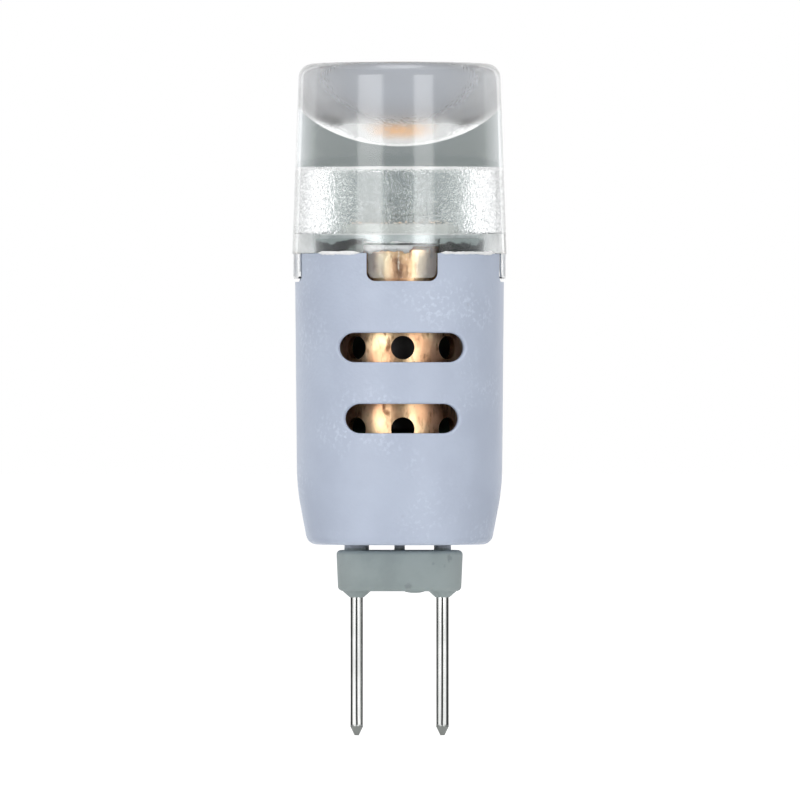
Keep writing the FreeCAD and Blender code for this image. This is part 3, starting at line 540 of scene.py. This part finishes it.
def turn_outline(form, outline, first, last, steps, closed=False):
    """Turns an outline of (radius, height) round the axis; azimuths are in degrees from the front."""
    start = Matrix.Rotation(math.radians(first), 4, "Z")
    corners = [form.verts.new(start @ Vector((0.0, -radius, height))) for radius, height in outline]
    nexts = corners[1:] + corners[:1] if closed else corners[1:]
    edges = [form.edges.new(pair) for pair in zip(corners, nexts)]
    bmesh.ops.spin(form, geom=corners + edges, axis=(0.0, 0.0, 1.0), cent=(0.0, 0.0, 0.0),
                   angle=math.radians(last - first), steps=steps, use_merge=False, use_duplicate=False)


def finished_mesh(name, form, material):
    """The bmesh made a mesh of one material."""
    mesh = bpy.data.meshes.new(name)
    form.to_mesh(mesh)
    form.free()
    mesh.materials.append(material)
    return mesh


def put(name, data):
    """A mesh, a lamp or the camera put in the scene as an object."""
    thing = bpy.data.objects.new(name, data)
    bpy.context.scene.collection.objects.link(thing)
    return thing


# Pieces made here: dried glue in the front notch, and ragged white lines along the sleeve's rim, whose white
# is a painted highlight on the rim's edge

GLUE_OUTLINE = [(3.02, 16.12), (3.30, 16.06), (3.60, 16.10), (3.78, 16.22), (3.80, 16.38), (3.76, 16.50),
                (3.60, 16.46), (3.30, 16.42), (3.04, 16.38)]
RIM_HIGHLIGHT_OUTLINE = [(4.84, 15.96), (4.93, 15.94), (5.01, 15.99), (5.02, 16.06), (4.98, 16.08), (4.86, 16.04)]
STEPS_PER_DEGREE = 2.5
TAPER_DEGREES = 3.0
TAPER_LEAST = 0.15
BROAD_LUMPS = 1800.0
BROAD_SWELL = 0.6
FINE_LUMPS = 6000.0
FINE_SWELL = 0.3
SURFACE_LUMPS = 7000.0
LUMP_SHIFTS = (Vector((31.0, 0.0, 0.0)), Vector((0.0, 57.0, 0.0)), Vector((0.0, 0.0, 83.0)))
NO_SHARP_EDGE = math.radians(180.0)


def rough_bead(name, outline, first, last, rough, slot):
    """A ragged bead along an arc: an outline of (radius, height) in mm, turned and then roughened."""
    form = bmesh.new()
    steps = int((last - first) * STEPS_PER_DEGREE)
    turn_outline(form, [(radius * MM, height * MM) for radius, height in outline], first, last, steps,
                 closed=True)
    bmesh.ops.holes_fill(form, edges=[edge for edge in form.edges if edge.is_boundary], sides=0)
    middle = sum(height for radius, height in outline) / len(outline) * MM
    for vertex in form.verts:
        azimuth = math.degrees(math.atan2(vertex.co.x, -vertex.co.y))
        from_end = min(azimuth - first, last - azimuth)
        taper = min(1.0, from_end / TAPER_DEGREES + TAPER_LEAST)
        broad = BROAD_SWELL * noise.noise(vertex.co * BROAD_LUMPS)
        fine = FINE_SWELL * noise.noise(vertex.co * FINE_LUMPS)
        vertex.co.z = middle + (vertex.co.z - middle) * taper * (1.0 + broad + fine)
        lumps = [noise.noise(vertex.co * SURFACE_LUMPS + shift) for shift in LUMP_SHIFTS]
        vertex.co += Vector(lumps) * rough
    bmesh.ops.recalc_face_normals(form, faces=form.faces)
    mesh = finished_mesh(name, form, MATERIALS[slot])
    mesh.shade_smooth()
    mesh.set_sharp_from_angle(angle=NO_SHARP_EDGE)
    piece = put(name, mesh)
    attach(piece, "root")


rough_bead("glue_crust", GLUE_OUTLINE, first=-31.0, last=7.5, rough=0.06 * MM, slot="white_glue")
# White beads on the rim that stand for a painted highlight along its edge
rough_bead("rim_highlight_left", RIM_HIGHLIGHT_OUTLINE, first=-50.9, last=-23.3, rough=0.015 * MM, slot="white_glue")
rough_bead("rim_highlight_right", RIM_HIGHLIGHT_OUTLINE, first=21.2, last=60.9, rough=0.02 * MM, slot="white_glue")


# Studio

VIEW_HEIGHT = 9.2 * MM
VIEW_DISTANCE = 575.0 * MM
VIEW_ACROSS = 0.02 * MM
VIEW_TURN = -1.5
LENS = 555.0
SENSOR = 36.0

FLOOR_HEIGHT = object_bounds()[0][2]
FLOOR_SIDE = 4.0
FLOOR_GLOW = 0.6
SOFT_LIGHT = 0.5

LAMP_DISTANCE = 0.55
SOFT_SIDE = 0.2
NEUTRAL = (1.0, 1.0, 1.0)
WARM = (1.0, 0.96, 0.88)

WALL_RADIUS = 1.5
WALL_HEIGHT = 1.6
WALL_REACH = 145.0
CLOTH_START = 9.0 * MM
CLOTH_HEIGHT = FLOOR_HEIGHT + 0.1 * MM
CLOTH_ARCS = {"left": (-WALL_REACH, -80.0), "front": (-22.0, 13.0), "right": (70.0, WALL_REACH)}

BAND_RADIUS = 0.5
BAND_FOOT = -6.0 * MM
BAND_TOP = 26.0 * MM
BAND_REACH = 112.0
BAND_TURN = 17.5 * MM
BAND_BLEND = 2.0 * MM
BAND_FAR = 0.43
BAND_LOW = colour(0.20, 0.228, 0.222)
BAND_HIGH = colour(0.44, 0.47, 0.54)
BAND_SIDES = colour(0.62, 0.68, 0.72)


def seen_white(tree):
    """1 for a ray that shows the background: straight, mirrored or through the clear plastic."""
    path = tree.nodes.new("ShaderNodeLightPath")
    share = arithmetic(tree, "MAXIMUM", path.outputs["Is Camera Ray"], path.outputs["Is Glossy Ray"])
    return arithmetic(tree, "MAXIMUM", share, path.outputs["Is Transmission Ray"])


def make_world():
    """Plain soft light from all round, with a white background."""
    world = bpy.data.worlds.new("studio")
    world.use_nodes = True
    tree = world.node_tree
    tree.nodes.clear()
    soft = fill(tree.nodes.new("ShaderNodeBackground"), Color=WHITE, Strength=SOFT_LIGHT)
    white = fill(tree.nodes.new("ShaderNodeBackground"), Color=WHITE, Strength=1.0)
    mix = tree.nodes.new("ShaderNodeMixShader")
    fill_in_order(mix, mix.inputs, (seen_white(tree), soft.outputs[0], white.outputs[0]))
    fill(tree.nodes.new("ShaderNodeOutputWorld"), Surface=mix.outputs[0])
    bpy.context.scene.world = world


def make_floor():
    """A pale floor that is white to the eye and keeps the lamp's shadow."""
    material, tree, shader, _ = new_material(
        "pale_floor", Roughness=0.9, Base_Color=colour(0.9, 0.9, 0.9), Emission_Color=WHITE,
        Specular_IOR_Level=0.0)
    fill(shader, Emission_Strength=both(tree, seen_white(tree), FLOOR_GLOW))
    form = bmesh.new()
    bmesh.ops.create_grid(form, x_segments=1, y_segments=1, size=FLOOR_SIDE / 2.0)
    bmesh.ops.translate(form, vec=(0.0, 0.0, FLOOR_HEIGHT), verts=form.verts)
    floor = put("floor", finished_mesh("floor", form, material))


def seen_only_by(thing, kind):
    """Shows a stage piece to one kind of ray alone: glossy for mirrored, or transmission."""
    for ray in ("camera", "diffuse", "glossy", "transmission", "shadow"):
        setattr(thing, "visible_" + ray, ray == kind)


def hang_cloth(name, outline, first, last, material):
    """A dark surface turned through a sector, which only mirrored rays meet."""
    form = bmesh.new()
    turn_outline(form, outline, first, last, steps=24)
    cloth = put(name, finished_mesh(name, form, material))
    seen_only_by(cloth, "glossy")


def make_dark_surround():
    """A dark wall round the front and sides, and dark cloth on the floor between pale strips."""
    material = new_material("dark_cloth", Roughness=0.9, Base_Color=colour(0.03, 0.03, 0.03))[0]
    wall = [(WALL_RADIUS, FLOOR_HEIGHT), (WALL_RADIUS, WALL_HEIGHT)]
    hang_cloth("dark_wall", wall, -WALL_REACH, WALL_REACH, material)
    strip = [(CLOTH_START, CLOTH_HEIGHT), (WALL_RADIUS, CLOTH_HEIGHT)]
    for name, (first, last) in CLOTH_ARCS.items():
        hang_cloth("dark_cloth_" + name, strip, first, last, material)


def make_grey_band():
    """A low grey board far behind, which only rays through the clear plastic meet."""
    material, tree, shader, place = new_material(
        "grey_band", Base_Color=colour(0.0, 0.0, 0.0), Specular_IOR_Level=0.0, Emission_Strength=1.0)
    towards_sides = smooth_range(tree, along(tree, place, "Y"), BAND_FAR, 0.0)
    rising = smooth_range(tree, along(tree, place, "Z"), BAND_TURN - BAND_BLEND, BAND_TURN + BAND_BLEND)
    board = mixed_colour(tree, rising, BAND_LOW, BAND_HIGH)
    fill(shader, Emission_Color=mixed_colour(tree, towards_sides, board, BAND_SIDES))
    form = bmesh.new()
    upright = [(BAND_RADIUS, BAND_FOOT), (BAND_RADIUS, BAND_TOP)]
    turn_outline(form, upright, 180.0 - BAND_REACH, 180.0 + BAND_REACH, steps=48)
    band = put("grey_band", finished_mesh("grey_band", form, material))
    seen_only_by(band, "transmission")


def aim(thing, place, target):
    """Puts a lamp or the camera at a place, facing a target."""
    way = Vector(target) - Vector(place)
    thing.matrix_world = Matrix.Translation(place) @ way.to_track_quat("-Z", "Y").to_matrix().to_4x4()


def make_camera():
    """The view: level with the lamp, far off, straight at its front."""
    camera = bpy.data.cameras.new("camera")
    camera.lens = LENS
    camera.sensor_width = SENSOR
    camera.clip_start = 0.01
    camera.clip_end = 20.0
    thing = put("camera", camera)
    turn = Matrix.Rotation(math.radians(VIEW_TURN), 4, "Z")
    aim(thing, turn @ Vector((VIEW_ACROSS, -VIEW_DISTANCE, VIEW_HEIGHT)),
        turn @ Vector((VIEW_ACROSS, 0.0, VIEW_HEIGHT)))
    bpy.context.scene.camera = thing


def soften_sides(lamp):
    """Makes an area lamp fade out towards each side."""
    lamp.use_nodes = True
    tree = lamp.node_tree
    across_lamp = tree.nodes.new("ShaderNodeNewGeometry").outputs["Parametric"]
    from_middle = aside(tree, across_lamp, middle=0.5)
    fill(tree.nodes["Emission"], Strength=smooth_range(tree, from_middle, 0.5, 0.5 - SOFT_SIDE))


def make_softbox(name, azimuth, width, height, radiance, distance=LAMP_DISTANCE, rise=0.0, tint=NEUTRAL):
    """A soft-sided area lamp at an azimuth from the front, with the radiance that a mirror shows."""
    lamp = bpy.data.lights.new(name, "AREA")
    lamp.shape = "RECTANGLE"
    lamp.size = width * (1.0 + SOFT_SIDE)
    lamp.size_y = height
    lamp.energy = radiance * math.pi * lamp.size * height
    lamp.color = tint
    soften_sides(lamp)
    thing = put(name, lamp)
    angle = math.radians(azimuth)
    place = (distance * math.sin(angle), -distance * math.cos(angle), VIEW_HEIGHT + rise)
    aim(thing, place, (0.0, 0.0, VIEW_HEIGHT))
    thing.visible_camera = False


make_world()
make_floor()
make_dark_surround()
make_grey_band()
make_camera()
make_softbox("key_left", azimuth=-34.5, width=0.29, height=0.26, radiance=4.5)
make_softbox("key_right", azimuth=25.5, width=0.22, height=0.26, radiance=4.3)
make_softbox("side_left", azimuth=-64.0, width=0.30, height=0.80, radiance=0.10, tint=WARM)
make_softbox("side_right", azimuth=60.0, width=0.30, height=0.80, radiance=0.10, tint=WARM)
make_softbox("back_left", azimuth=-132.0, width=0.45, height=0.80, radiance=0.8)
make_softbox("back_right", azimuth=132.0, width=0.45, height=0.80, radiance=0.8)
make_softbox("overhead", azimuth=0.0, width=0.30, height=0.30, radiance=2.9, distance=0.12, rise=0.5)

bpy.context.scene.view_settings.view_transform = "Standard"
